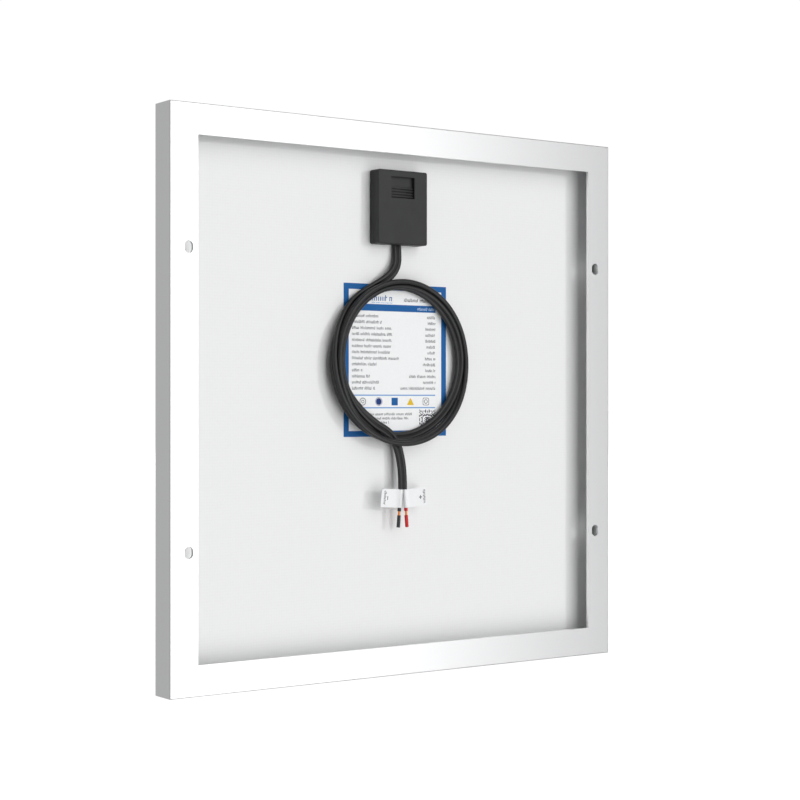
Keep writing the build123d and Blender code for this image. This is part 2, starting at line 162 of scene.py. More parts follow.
def round_tube(name, path, radius, sides=20, end_round=0.0):
    """A round tube along a path, with a little rounding at its two ends."""
    ways = directions(path)
    rings = []

    def ring(at, way, size):
        across = way.cross(BACKWARD).normalized()
        above = across.cross(way)
        turns = [2 * math.pi * i / sides for i in range(sides)]
        return [at + (across * math.cos(t) + above * math.sin(t)) * size for t in turns]

    if end_round:
        rings.append(ring(path[0], ways[0], radius - end_round))
        rings.append(ring(path[0] + ways[0] * end_round, ways[0], radius))
        inner = range(1, len(path) - 1)
    else:
        inner = range(len(path))
    for i in inner:
        rings.append(ring(path[i], ways[i], radius))
    if end_round:
        rings.append(ring(path[-1] - ways[-1] * end_round, ways[-1], radius))
        rings.append(ring(path[-1], ways[-1], radius - end_round))
    return loft(name, rings, sharp_angle=50.0)


def piece(name, mesh, material, body="panel", stands_for=()):
    """A visible piece that rides a body and stands for some CAD nodes."""
    made = link(name, mesh)
    made.data.materials.append(material)
    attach(made, body)
    if stands_for:
        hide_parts(*stands_for)
    return made


# ---------------------------------------------------------------- materials
def linear(level):
    """A screen level from 0 to 255 as linear light, by the sRGB curve."""
    share = level / 255
    return share / 12.92 if share <= 0.04045 else ((share + 0.055) / 1.055) ** 2.4


def colour(red, green, blue):
    return tuple(linear(c) for c in (red, green, blue))


def shaded(tint, share):
    return (*(min(c * share, 1.0) for c in tint), 1.0)


class Finish:
    """A procedural material: a noise grain that drives colour, roughness and bump."""

    def __init__(self, name, tint, roughness, metallic=0.0, **sockets):
        self.material = bpy.data.materials.new(name)
        self.material.use_nodes = True
        self.material.diffuse_color = (*tint, 1.0)
        self.nodes = self.material.node_tree.nodes
        self.links = self.material.node_tree.links
        self.shader = self.nodes["Principled BSDF"]
        self.tint = tint
        self.roughness = roughness
        self.set("Base Color", (*tint, 1.0))
        self.set("Roughness", roughness)
        self.set("Metallic", metallic)
        for socket, value in sockets.items():
            self.set(socket.replace("_", " "), value)
        self.place = self.nodes.new("ShaderNodeTexCoord").outputs["Object"]

    def set(self, socket, value):
        self.shader.inputs[socket].default_value = value

    def join(self, source, target):
        self.links.new(source, target)

    def stretched(self, stretch):
        """Object coordinates scaled along each axis."""
        mapping = self.nodes.new("ShaderNodeMapping")
        mapping.inputs["Scale"].default_value = stretch
        self.join(self.place, mapping.inputs["Vector"])
        return mapping.outputs["Vector"]

    def noise(self, scale, detail=3.0, stretch=(1, 1, 1)):
        made = self.nodes.new("ShaderNodeTexNoise")
        made.inputs["Scale"].default_value = scale
        made.inputs["Detail"].default_value = detail
        self.join(self.stretched(stretch), made.inputs["Vector"])
        return made.outputs["Fac"]

    def ranged(self, source, low, high, start=0.3, end=0.7):
        made = self.nodes.new("ShaderNodeMapRange")
        made.inputs["From Min"].default_value = start
        made.inputs["From Max"].default_value = end
        made.inputs["To Min"].default_value = low
        made.inputs["To Max"].default_value = high
        self.join(source, made.inputs["Value"])
        return made.outputs["Result"]

    def ramp(self, source, stops):
        made = self.nodes.new("ShaderNodeValToRGB")
        marks = made.color_ramp.elements
        while len(marks) < len(stops):
            marks.new(0.5)
        for mark, (at, tint) in zip(marks, stops):
            mark.position = at
            mark.color = tint
        self.join(source, made.inputs["Fac"])
        return made.outputs["Color"]

    def grain(
        self, scale, spread=0.05, rough_spread=0.06, bump=0.15, depth=0.02, stretch=(1, 1, 1)
    ):
        """Grain of about 1/scale metres: a little colour, roughness and relief."""
        source = self.noise(scale, stretch=stretch)
        stops = [(0.3, shaded(self.tint, 1 - spread)), (0.7, shaded(self.tint, 1 + spread))]
        self.join(self.ramp(source, stops), self.shader.inputs["Base Color"])
        low, high = self.roughness - rough_spread, self.roughness + rough_spread
        self.join(self.ranged(source, low, high), self.shader.inputs["Roughness"])
        self.bump(source, bump, depth * MM)
        return self

    def bump(self, source, strength, distance):
        made = self.nodes.new("ShaderNodeBump")
        made.inputs["Strength"].default_value = strength
        made.inputs["Distance"].default_value = distance
        self.join(source, made.inputs["Height"])
        self.join(made.outputs["Normal"], self.shader.inputs["Normal"])


FINISHES = {
    # slot: (tint, roughness, metallic, grain scale, grain values)
    "nylon_key": ((0.012, 0.012, 0.013), 0.6, 0, 900, {}),
    "butyl_seal": ((0.01, 0.01, 0.01), 0.75, 0, 500, {"bump": 0.3}),
    "tinned_ribbon": ((0.72, 0.73, 0.74), 0.32, 1, 700, {"stretch": (1, 1, 0.05)}),
    "silicone_adhesive": ((0.75, 0.75, 0.73), 0.55, 0, 260, {"bump": 0.3, "depth": 0.1}),
    "black_plastic": ((0.011, 0.011, 0.0115), 0.5, 0, 3800, {"bump": 0.2}),
    "gasket_rubber": ((0.015, 0.015, 0.016), 0.7, 0, 1400, {"bump": 0.25}),
    "brass_terminal": ((0.72, 0.52, 0.22), 0.3, 1, 1200, {"stretch": (0.1, 1, 1)}),
    "zinc_screw": ((0.66, 0.68, 0.7), 0.33, 1, 1500, {"spread": 0.1}),
    "diode_epoxy": ((0.012, 0.012, 0.012), 0.3, 0, 2500, {}),
    "red_insulation": (colour(205, 26, 24), 0.4, 0, 900, {"spread": 0.08}),
    "black_insulation": (colour(38, 38, 40), 0.42, 0, 900, {"spread": 0.12}),
}


def plain_finishes():
    """The materials that need only a tint and a grain."""
    made = {}
    for name, (tint, rough, metallic, scale, values) in FINISHES.items():
        made[name] = Finish(name, tint, rough, metallic).grain(scale, **values).material
    return made


def aluminium():
    """Clear anodised extrusion: broad soft reflections and a faint fine grain."""
    made = Finish("anodised_aluminium", (0.88, 0.885, 0.89), 0.34, 1.0)
    made.grain(2600, spread=0.02, rough_spread=0.03, bump=0.05, depth=0.01)
    return made.material


GRID_SCALE = 165.0  # wave scale of the backsheet's fine grid


def backsheet():
    """White polymer film with the faint fine grid that the laminate leaves in it."""
    made = Finish("white_backsheet", (0.82, 0.825, 0.825), 0.38, 0.0, Specular_IOR_Level=0.5)
    threads = []
    for stretch in ((1, 0, 0), (0, 0, 1)):
        wave = made.nodes.new("ShaderNodeTexWave")
        wave.inputs["Scale"].default_value = GRID_SCALE
        wave.inputs["Distortion"].default_value = 0.4
        made.join(made.stretched(stretch), wave.inputs["Vector"])
        if stretch[2]:
            wave.bands_direction = "Z"
        threads.append(wave.outputs["Fac"])
    weave = made.nodes.new("ShaderNodeMath")
    weave.operation = "MULTIPLY"
    made.join(threads[0], weave.inputs[0])
    made.join(threads[1], weave.inputs[1])
    speckle = made.noise(420, detail=2.0)
    both = made.nodes.new("ShaderNodeMath")
    both.operation = "ADD"
    made.join(weave.outputs["Value"], both.inputs[0])
    made.join(speckle, both.inputs[1])
    stops = [(0.2, shaded(made.tint, 0.985)), (1.0, shaded(made.tint, 1.012))]
    made.join(made.ramp(both.outputs["Value"], stops), made.shader.inputs["Base Color"])
    made.join(made.ranged(speckle, 0.34, 0.42), made.shader.inputs["Roughness"])
    made.bump(both.outputs["Value"], 0.12, 0.02 * MM)
    return made.material


def moulded_plastic():
    """Charcoal polyamide with a fine spark texture and slightly rubbed high spots."""
    made = Finish("charcoal_plastic", (0.03, 0.0305, 0.031), 0.56, 0.0, Specular_IOR_Level=0.35)
    fine = made.noise(3800, detail=4.0)
    broad = made.noise(60, detail=2.0)
    stops = [(0.35, shaded(made.tint, 0.93)), (0.65, shaded(made.tint, 1.08))]
    made.join(made.ramp(broad, stops), made.shader.inputs["Base Color"])
    made.join(made.ranged(fine, 0.48, 0.64), made.shader.inputs["Roughness"])
    made.bump(fine, 0.25, 0.03 * MM)
    return made.material


def cable_jacket():
    """Soft black PVC: satin, with a slight unevenness along its length."""
    made = Finish("pvc_jacket", (0.0165, 0.0165, 0.017), 0.4, 0.0, Specular_IOR_Level=0.45)
    slow = made.noise(140, detail=2.0)
    fine = made.noise(2600, detail=3.0)
    stops = [(0.35, shaded(made.tint, 0.85)), (0.65, shaded(made.tint, 1.15))]
    made.join(made.ramp(slow, stops), made.shader.inputs["Base Color"])
    made.join(made.ranged(slow, 0.34, 0.46), made.shader.inputs["Roughness"])
    made.bump(fine, 0.18, 0.02 * MM)
    return made.material


def printed(name, tint, roughness=0.42):
    made = Finish(name, tint, roughness, 0.0, Specular_IOR_Level=0.15)
    return made.grain(1800, spread=0.03, rough_spread=0.04, bump=0.06, depth=0.01).material


def copper():
    made = Finish("bare_copper", (0.95, 0.32, 0.075), 0.36, 0.35)
    return made.grain(3000, spread=0.12, rough_spread=0.08, bump=0.1).material


def clear(name, tint, roughness, refraction):
    """A clear layer: light passes straight through, and the surface shines at a slant."""
    made = bpy.data.materials.new(name)
    made.use_nodes = True
    nodes, links = made.node_tree.nodes, made.node_tree.links
    nodes.remove(nodes["Principled BSDF"])
    through = nodes.new("ShaderNodeBsdfTransparent")
    shine = nodes.new("ShaderNodeBsdfGlossy")
    mix = nodes.new("ShaderNodeMixShader")
    facing = nodes.new("ShaderNodeFresnel")
    place = nodes.new("ShaderNodeTexCoord")
    ripple = nodes.new("ShaderNodeTexNoise")
    tone = nodes.new("ShaderNodeValToRGB")
    relief = nodes.new("ShaderNodeBump")
    facing.inputs["IOR"].default_value = refraction
    shine.inputs["Roughness"].default_value = roughness
    ripple.inputs["Scale"].default_value = 900.0
    relief.inputs["Strength"].default_value = 0.08
    relief.inputs["Distance"].default_value = 0.02 * MM
    tone.color_ramp.elements[0].color = shaded(tint, 0.985)
    tone.color_ramp.elements[1].color = shaded(tint, 1.0)
    links.new(place.outputs["Object"], ripple.inputs["Vector"])
    links.new(ripple.outputs["Fac"], tone.inputs["Fac"])
    links.new(ripple.outputs["Fac"], relief.inputs["Height"])
    links.new(tone.outputs["Color"], through.inputs["Color"])
    links.new(relief.outputs["Normal"], shine.inputs["Normal"])
    links.new(facing.outputs["Fac"], mix.inputs["Fac"])
    links.new(through.outputs["BSDF"], mix.inputs[1])
    links.new(shine.outputs["BSDF"], mix.inputs[2])
    links.new(mix.outputs["Shader"], nodes["Material Output"].inputs["Surface"])
    return made


FINGER_PITCH = 1.9  # mm between the fine silver fingers printed across a cell
CRYSTAL = 9.0  # mm, size of a crystal


def silicon():
    """Polycrystalline cell: blue crystals in flat facets, with fine silver fingers across."""
    made = Finish("silicon_cell", (0.012, 0.04, 0.17), 0.28, 0.0, Specular_IOR_Level=0.5)
    crystals = made.nodes.new("ShaderNodeTexVoronoi")
    crystals.inputs["Scale"].default_value = 1000 / CRYSTAL
    made.join(made.stretched((1, 0, 1)), crystals.inputs["Vector"])
    one = made.nodes.new("ShaderNodeSeparateColor")
    made.join(crystals.outputs["Color"], one.inputs["Color"])
    blues = [
        (0.0, (0.006, 0.022, 0.11, 1)),
        (0.45, (0.010, 0.038, 0.17, 1)),
        (0.8, (0.016, 0.06, 0.25, 1)),
        (1.0, (0.03, 0.10, 0.34, 1)),
    ]
    facets = made.ramp(one.outputs["Red"], blues)
    lines = made.nodes.new("ShaderNodeTexWave")
    lines.wave_profile = "SAW"
    lines.bands_direction = "Z"
    # a wave of scale 1 repeats every 2 pi / 20
    lines.inputs["Scale"].default_value = 2 * math.pi / 20 / (FINGER_PITCH * MM)
    made.join(made.place, lines.inputs["Vector"])
    finger = made.ranged(lines.outputs["Fac"], 0.0, 1.0, 0.93, 0.95)
    mix = made.nodes.new("ShaderNodeMix")
    mix.data_type = "RGBA"
    made.join(finger, mix.inputs["Factor"])
    made.join(facets, mix.inputs["A"])
    mix.inputs["B"].default_value = (0.42, 0.44, 0.47, 1)
    made.join(mix.outputs["Result"], made.shader.inputs["Base Color"])
    made.join(made.ranged(one.outputs["Green"], 0.22, 0.38, 0, 1), made.shader.inputs["Roughness"])
    made.bump(finger, 0.1, 0.015 * MM)
    return made.material


for imported in list(bpy.data.materials):
    bpy.data.materials.remove(imported)
materials = plain_finishes()
materials["anodised_aluminium"] = aluminium()
materials["white_backsheet"] = backsheet()
materials["charcoal_plastic"] = moulded_plastic()
materials["pvc_jacket"] = cable_jacket()
materials["printed_label"] = printed("printed_label", colour(240, 241, 242))
materials["white_flag"] = printed("white_flag", colour(238, 239, 240))
materials["bare_copper"] = copper()
materials["tempered_glass"] = clear("tempered_glass", (0.97, 0.99, 0.985), 0.08, 1.45)
materials["eva"] = clear("eva", (0.99, 0.99, 0.985), 0.3, 1.02)
materials["silicon_cell"] = silicon()
ink_blue = printed("ink_blue", colour(30, 94, 158))
ink_sky = printed("ink_sky", colour(112, 158, 212))
ink_grey = printed("ink_grey", colour(74, 77, 84))
ink_navy = printed("ink_navy", colour(36, 60, 120))
ink_yellow = printed("ink_yellow", colour(224, 186, 40))
ink_pale = printed("ink_pale", colour(188, 208, 232))

for subpart in frame["record"]["subparts"]:
    node = frame["nodes"][subpart["node"]]
    node.data.materials.clear()
    node.data.materials.append(materials[subpart["material_slot"]])
white_layer = frame["nodes"]["rear_encapsulant"]  # white, so it fills the gaps between cells
white_layer.data.materials[0] = materials["white_backsheet"]


# ---------------------------------------------------------------- twin lead
# every length of the lead is in mm
STRAND = 3.3
# the drop out of the box, (x, y, z): down, and over to the upper left of the coil
DROP = [
    (1.6, -1.95, 299.0),
    (1.0, -1.8, 287.0),
    (2.2, 0.4, 275.5),
    (10.0, 0.7, 267.0),
    (24.5, -1.95, 258.6),
]
COIL_X, COIL_Z = -0.9, 210.6
COIL_POINTS_A_TURN = 15
COIL_SHRINK = 0.978  # radius of the smooth line as a share of its control points' radius
# angle in degrees from the right over the top, radius, y, roll in degrees
COIL = [
    (135, 54.6, -1.7, 10),
    (160, 55.9, 1.6, 60),
    (185, 57.0, 4.0, 115),
    (225, 56.2, 5.2, 105),
    (265, 54.5, 5.9, 55),
    (300, 54.5, 4.8, 65),
    (360, 54.1, -0.2, 90),
    (450, 54.3, 2.9, 80),
    (480, 54.3, 3.6, 85),
    (540, 53.5, 5.4, 90),
    (585, 52.0, 3.6, 60),
    (612, 50.9, -1.8, 10),
    (655, 50.4, -1.9, 5),
    (720, 49.3, 1.0, 5),
    (810, 50.9, 0.5, 80),
    (900, 50.2, 3.6, 90),
    (925, 48.2, 2.2, 60),
    (940, 46.8, 1.7, 30),
    (962, 46.5, 1.5, 0),
]
# the tail, (x, y, z): under the outer turn, then hanging clear of the sheet
TAIL = [
    (11.0, 1.5, 163.6),
    (5.0, 1.5, 157.6),
    (2.0, 2.4, 149.8),
    (0.9, 3.7, 140.0),
    (0.6, 4.3, 131.0),
    (0.65, 4.4, 124.4),
]


def between(table, at):
    """The values of a table's rows, read at a place between two of its first values."""
    for first, second in zip(table, table[1:]):
        if at <= second[0]:
            share = (at - first[0]) / (second[0] - first[0])
            return [a + (b - a) * share for a, b in zip(first[1:], second[1:])]
    return list(table[-1][1:])


def lead_controls():
    """Control points of the whole lead with a roll each: 0 lies flat, 90 stands on edge."""
    points = [(*p, 0.0) for p in DROP]
    first, last = COIL[0][0], COIL[-1][0]
    count = round((last - first) * COIL_POINTS_A_TURN / 360)
    for k in range(count + 1):
        angle = first + (last - first) * k / count
        radius, y, roll = between(COIL, angle)
        radius /= COIL_SHRINK
        turn = math.radians(angle)
        x = COIL_X - radius * math.cos(turn)
        z = COIL_Z + radius * math.sin(turn)
        points.append((x, y, z, roll))
    points += [(*p, 0.0) for p in TAIL]
    return points


def twin_outline(half_web=25.0, sides=26):
    """Two round strands side by side with a narrow web, as (across, above) in mm."""
    radius = STRAND / 2
    outline = []
    for side, first in ((1, -180.0 + half_web), (-1, half_web)):
        for k in range(sides + 1):
            turn = math.radians(first + (360.0 - 2 * half_web) * k / sides)
            outline.append((side * radius + radius * math.cos(turn), radius * math.sin(turn)))
    return outline


def lead_frames(path, rolls):
    """For each point of the path: the point, the way across the twin and the way over it."""
    found = []
    for at, way, roll in zip(path, directions(path), rolls):
        flat = way.cross(BACKWARD).normalized()
        over = flat.cross(way)
        turn = math.radians(roll)
        across = flat * math.cos(turn) + over * math.sin(turn)
        found.append((at, across, across.cross(way)))
    return found


controls = lead_controls()
lead_path = spline_points([mm(*c[:3]) for c in controls])
lead_rolls = [p.x for p in spline_points([(c[3], 0, 0) for c in controls])]
lead_frame = lead_frames(lead_path, lead_rolls)
outline = twin_outline()
rings = [
    [at + (across * a + over * b) * MM for a, b in outline] for at, across, over in lead_frame
]
lead = piece(
    "twin_lead",
    loft("twin_lead", rings, sharp_angle=60.0),
    materials["pvc_jacket"],
    stands_for=("lead_drop", "lead_coil", "lead_tail"),
)


# ---------------------------------------------------------------- bare ends and flags
CORE = 2.4
STRAND_WIRE = 0.36
LAY = 9.0  # length of one twist
LAYERS = [(0.0, 1), (0.37, 6), (0.63, 12)]  # distance from the middle, wires
CORE_ROUTES = {
    "negative": [(2.3, 4.4, 125.4), (2.3, 4.5, 121.5), (3.7, 5.0, 114.0), (3.9, 5.1, 109.7)],
    "positive": [(-1.0, 4.4, 125.4), (-1.1, 4.5, 121.5), (-1.5, 5.0, 114.0), (-1.65, 5.1, 109.7)],
}
SLUG_LINES = {
    "negative": [(4.1, 5.1, 107.0), (4.75, 5.1, 98.8)],
    "positive": [(-1.8, 5.1, 107.0), (-2.5, 5.1, 98.8)],
}
INSULATION = {"negative": "black_insulation", "positive": "red_insulation"}


def straight(start, end, steps=8):
    """Evenly spaced points from one place to another."""
    return [start.lerp(end, k / steps) for k in range(steps + 1)]


def twisted(name, start, end, steps=16):
    """A stranded conductor: two layers of fine wires twisted round a middle one."""
    whole = bmesh.new()
    way = (end - start).normalized()
    across = way.cross(BACKWARD).normalized()
    above = across.cross(way)
    length = (end - start).length
    for reach, count in LAYERS:
        for k in range(count):
            path = []
            for step in range(steps + 1):
                along = length * step / steps
                turn = 2 * math.pi * (k / count + along / (LAY * MM))
                off = across * math.cos(turn) + above * math.sin(turn)
                path.append(start + way * along + off * reach * MM)
            part = round_tube("wire", path, STRAND_WIRE / 2 * MM, sides=8)
            whole.from_mesh(part)
            bpy.data.meshes.remove(part)
    mesh = bpy.data.meshes.new(name)
    whole.to_mesh(mesh)
    whole.free()
    return mesh


def wire_ends():
    """Per side: the core, the sleeve at its end, and the bare strands from one to the other."""
    made = []
    for side, route in CORE_ROUTES.items():
        sleeve = materials[INSULATION[side]]
        name = f"bare_core_{side}"
        core_path = spline_points([mm(*p) for p in route])
        core = round_tube(name, core_path, CORE / 2 * MM, end_round=0.15 * MM)
        made.append(piece(name, core, sleeve, stands_for=(f"core_{side}",)))

        name = f"end_sleeve_{side}"
        top, bottom = (mm(*p) for p in SLUG_LINES[side])
        slug = round_tube(name, straight(top, bottom), CORE / 2 * MM, end_round=0.2 * MM)
        made.append(piece(name, slug, sleeve, stands_for=(f"slug_{side}",)))

        name = f"copper_strands_{side}"
        core_end = mm(*route[-1])
        inside = (core_end - top).normalized() * 1.5 * MM
        bundle = twisted(name, core_end + inside, bottom + inside * 0.2)
        copper_look = materials["bare_copper"]
        made.append(piece(name, bundle, copper_look, stands_for=(f"conductor_{side}",)))
    return made


# each flag: the core's middle at its top and bottom edge, the way out, how far it reaches from the
# core, how much its free end lifts, and where its word and its sign stand
FLAGS = {
    "negative": {
        "top": (2.3, 4.5, 124.45),
        "bottom": (3.8, 5.1, 112.1),
        "out": (16.9, 0, 1.1),
        "reach": 16.6,
        "lift": 1.6,
        "word_at": 14.2,
        "sign_at": 10.8,
    },
    "positive": {
        "top": (-1.05, 4.5, 124.4),
        "bottom": (-1.6, 5.1, 112.0),
        "out": (-18.6, 0, 0.9),
        "reach": 17.8,
        "lift": -0.4,
        "word_at": 16.9,
        "sign_at": 12.8,
    },
}
FLAG_PLY = 0.14
FLAG_CORNER = 1.0
FLAG_TALL = 12.4
WORD_LONG, WORD_TALL = 9.6, 2.1
SIGN_HALF, SIGN_THICK, SIGN_ARM = 1.3, 0.28, 1.35


def flag_point(side, u, v, h):
    """A point on a flag: u out from the core, v over its middle, h from 0 at the top to 1."""
    facts = FLAGS[side]
    reach = facts["reach"]
    centre = Vector(facts["top"]).lerp(Vector(facts["bottom"]), h)
    tall = Vector(facts["bottom"]) - Vector(facts["top"])
    tall.y = 0
    out = Vector(facts["out"]).normalized()
    middle = Vector(facts["top"]).lerp(Vector(facts["bottom"]), 0.5)
    lift = facts["lift"] * max(u / reach, 0.0) ** 1.7
    near_end = max(u - (reach - FLAG_CORNER), 0.0) / FLAG_CORNER
    cut = FLAG_CORNER * (1 - math.sqrt(max(1 - near_end**2, 0.0)))
    share = (h - 0.5) * (1 - 2 * cut / tall.length)
    foot = Vector((middle.x, centre.y, middle.z)) + tall * share
    held = centre.lerp(foot, min(max(u / 4, 0.0), 1.0))
    y = held.y + (middle.y - held.y) * min(max(u / 10, 0.0), 1.0)
    return Vector((held.x + out.x * u, y + lift + v, held.z + out.z * u)) * MM


def flag_line(side):
    """The folded sheet's middle line: in along one ply, round the core, and out again."""
    reach = FLAGS[side]["reach"]
    round_core = CORE / 2 + FLAG_PLY / 2 + 0.03
    ply = FLAG_PLY / 2 + 0.01
    run = [reach - FLAG_CORNER * (1 - math.sin(math.pi / 2 * k / 5)) for k in range(5, -1, -1)]
    run += [reach - FLAG_CORNER - (reach - FLAG_CORNER - 3.4) * k / 12 for k in range(1, 13)]
    front = [(u, ply) for u in run]
    turns = [math.radians(50 + 260 * k / 18) for k in range(19)]
    loop = [(round_core * math.cos(t), round_core * math.sin(t)) for t in turns]
    neck = [(2.5, 0.28), (1.7, 0.62)]
    back = [(u, -v) for u, v in reversed(front)]
    return front + neck + loop + [(u, -v) for u, v in reversed(neck)] + back


def flag_mesh(side, stations=9):
    """A flag of one folded sheet, lofted from its top edge to its bottom edge."""
    line = [Vector((u, v, 0)) for u, v in flag_line(side)]
    ways = directions(line)
    half = FLAG_PLY / 2
    near = [(p.x - w.y * half, p.y + w.x * half) for p, w in zip(line, ways)]
    far = [(p.x + w.y * half, p.y - w.x * half) for p, w in zip(line, ways)]
    outline = near + far[::-1]
    shares = [k / (stations - 1) for k in range(stations)]
    rings = [[flag_point(side, u, v, share) for u, v in outline] for share in shares]
    return loft(f"wire_flag_{side}", rings, sharp_angle=40.0)


def prism(points_front, points_back):
    """Points and faces of a thin closed tile between two outlines."""
    count = len(points_front)
    faces = [tuple(range(count)), tuple(range(2 * count - 1, count - 1, -1))]
    for i in range(count):
        j = (i + 1) % count
        faces.append((i, count + i, count + j, j))
    return points_front + points_back, faces


def tiles(name, outlines, place, material, low, high, stands_for=()):
    """Thin printed tiles: each outline of (a, b) is put on a surface by place(a, b, height)."""
    points, faces = [], []
    for outline in outlines:
        front = [place(a, b, high) for a, b in outline]
        back = [place(a, b, low) for a, b in outline]
        some, sides = prism(front, back)
        faces += [tuple(i + len(points) for i in side) for side in sides]
        points += some
    mesh = new_mesh(name, points, faces, smooth=False)
    return piece(name, mesh, material, stands_for=stands_for)


def bar(a0, a1, b0, b1):
    return [(a0, b0), (a1, b0), (a1, b1), (a0, b1)]


def strokes(start, length, base, height, seed, sign=-1):
    """Stand-in for a line of print: groups of short upright strokes that spell nothing."""
    dice = random.Random(seed)
    found, at, word = [], 0.0, dice.randint(4, 8)
    stroke, small = height * 0.16, height * 0.72
    while at < length - stroke:
        tall = height if dice.random() < 0.28 else small
        left = start + sign * at
        found.append(bar(left, left + sign * stroke, base, base + tall))
        step = height * (0.32 + 0.1 * dice.random())
        if dice.random() < 0.55:
            level = base + (small - stroke if dice.random() < 0.5 else 0.0)
            found.append(bar(left, left + sign * step, level, level + stroke))
        at += step
        word -= 0.5
        if word <= 0:
            word = dice.randint(4, 9)
            at += height * 0.5
    return found


def flag_marks(side):
    """Outlines (out from the core, height from 0 to 1) of a flag's word and its sign."""
    facts = FLAGS[side]
    one = 1 / FLAG_TALL
    word_at, sign_at = facts["word_at"], facts["sign_at"]
    word = strokes(-WORD_LONG / 2, WORD_LONG, 0.0, WORD_TALL, 7, sign=1)
    marks = [[(word_at - b, 0.5 + a * one) for a, b in mark] for mark in word]
    low, high = sign_at - SIGN_THICK, sign_at + SIGN_THICK
    marks.append(bar(low, high, 0.5 - SIGN_HALF * one, 0.5 + SIGN_HALF * one))
    if side == "positive":
        edges = 0.5 - SIGN_THICK * one, 0.5 + SIGN_THICK * one
        marks.append(bar(sign_at - SIGN_ARM, low, *edges))
        marks.append(bar(high, sign_at + SIGN_ARM, *edges))
    return marks


def flags():
    """Both flags, each with its print on the outer ply."""
    made = []
    low, high = FLAG_PLY - 0.01, FLAG_PLY + 0.025
    for side in FLAGS:
        name = f"wire_flag_{side}"
        paper = materials["white_flag"]
        made.append(piece(name, flag_mesh(side), paper, stands_for=(f"flag_{side}",)))

        def on_flag(u, h, height, side=side):
            return flag_point(side, u, height, h)

        marks = flag_marks(side)
        made.append(tiles(f"flag_print_{side}", marks, on_flag, ink_grey, low, high))
    return made


lead_pieces = wire_ends() + flags()


# ---------------------------------------------------------------- rating label
LABEL_LOW, LABEL_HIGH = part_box("rating_label")
LABEL_X = (LABEL_LOW.x + LABEL_HIGH.x) / 2 / MM
LABEL_HALF = (LABEL_HIGH.x - LABEL_LOW.x) / 2 / MM
LABEL_BOTTOM, LABEL_TOP = LABEL_LOW.z / MM, LABEL_HIGH.z / MM
LABEL_FACE = LABEL_HIGH.y / MM
BORDER_SIDE, BORDER_END = 4.3, 4.1
TEXT_LEFT, TEXT_RIGHT = 36.4, -32.6
ROW_TOP, ROW_PITCH, ROW_TALL = 240.6, 4.06, 2.0
# x where the left words end and where the right words start, row by row
ROW_LEFT_END = [14.9, 12.4, 4.4, 3.9, 4.4, 4.5, 5.9, -1.6, 15.7, 27.6, 22.2, 14.4, 18.0]
ROW_RIGHT_START = [
    *(-25.6, -26.3, -24.3, -24.3, -24.3, -25.2, -26.1),
    *(-23.9, -22.2, -24.3, -10.5, -22.3, -3.3),
]
INK = 0.02  # thickness of a printed layer
MARKS_Z, MARK_RADIUS = 183.8, 2.6


def on_label(x, z, height):
    return mm(x, LABEL_FACE + height, z)


def disc(x, z, radius, sides=28):
    """Outline of a round spot."""
    turns = [2 * math.pi * k / sides for k in range(sides)]
    return [(x + radius * math.cos(t), z + radius * math.sin(t)) for t in turns]


def hoop(x, z, radius, width, sides=24, first=0.0, sweep=360.0, corner=1.0):
    """A ring of small tiles; corner under 1 squares it off."""
    found = []
    inner = radius - width
    for k in range(sides):
        edge = []
        for step, reach in ((k, radius), (k + 1, radius), (k + 1, inner), (k, inner)):
            turn = math.radians(first + sweep * step / sides)
            right, up = math.cos(turn), math.sin(turn)
            across = reach * math.copysign(abs(right) ** corner, right)
            above = reach * math.copysign(abs(up) ** corner, up)
            edge.append((x + across, z + above))
        found.append(edge)
    return found


def label_print(name, outlines, material, layer=1):
    """Print on the label, a little sunk into what lies under it."""
    low, high = INK * (layer - 1) - 0.01, INK * layer
    return tiles(name, outlines, on_label, material, low, high)


def rounded(x0, x1, z0, z1, radius, steps=6):
    """Outline of a rectangle with round corners."""
    outline = []
    corners = ((x1 - radius, z1 - radius, 0), (x0 + radius, z1 - radius, 90))
    corners += ((x0 + radius, z0 + radius, 180), (x1 - radius, z0 + radius, 270))
    for x, z, first in corners:
        for k in range(steps + 1):
            turn = math.radians(first + 90 * k / steps)
            outline.append((x + radius * math.cos(turn), z + radius * math.sin(turn)))
    return outline


def block_pattern(x0, z0, size, cells=19):
    """A mirrored ornament of small blocks. It encodes nothing."""
    dice = random.Random(3)
    half = (cells + 1) // 2
    chosen = {(i, j) for i in range(half) for j in range(half) if dice.random() < 0.5}
    side = size / cells
    found = []
    for i in range(cells):
        for j in range(cells):
            if (min(i, cells - 1 - i), min(j, cells - 1 - j)) in chosen:
                a, b = x0 + i * side, z0 + j * side
                found.append(bar(a, a + side, b, b + side))
    return found


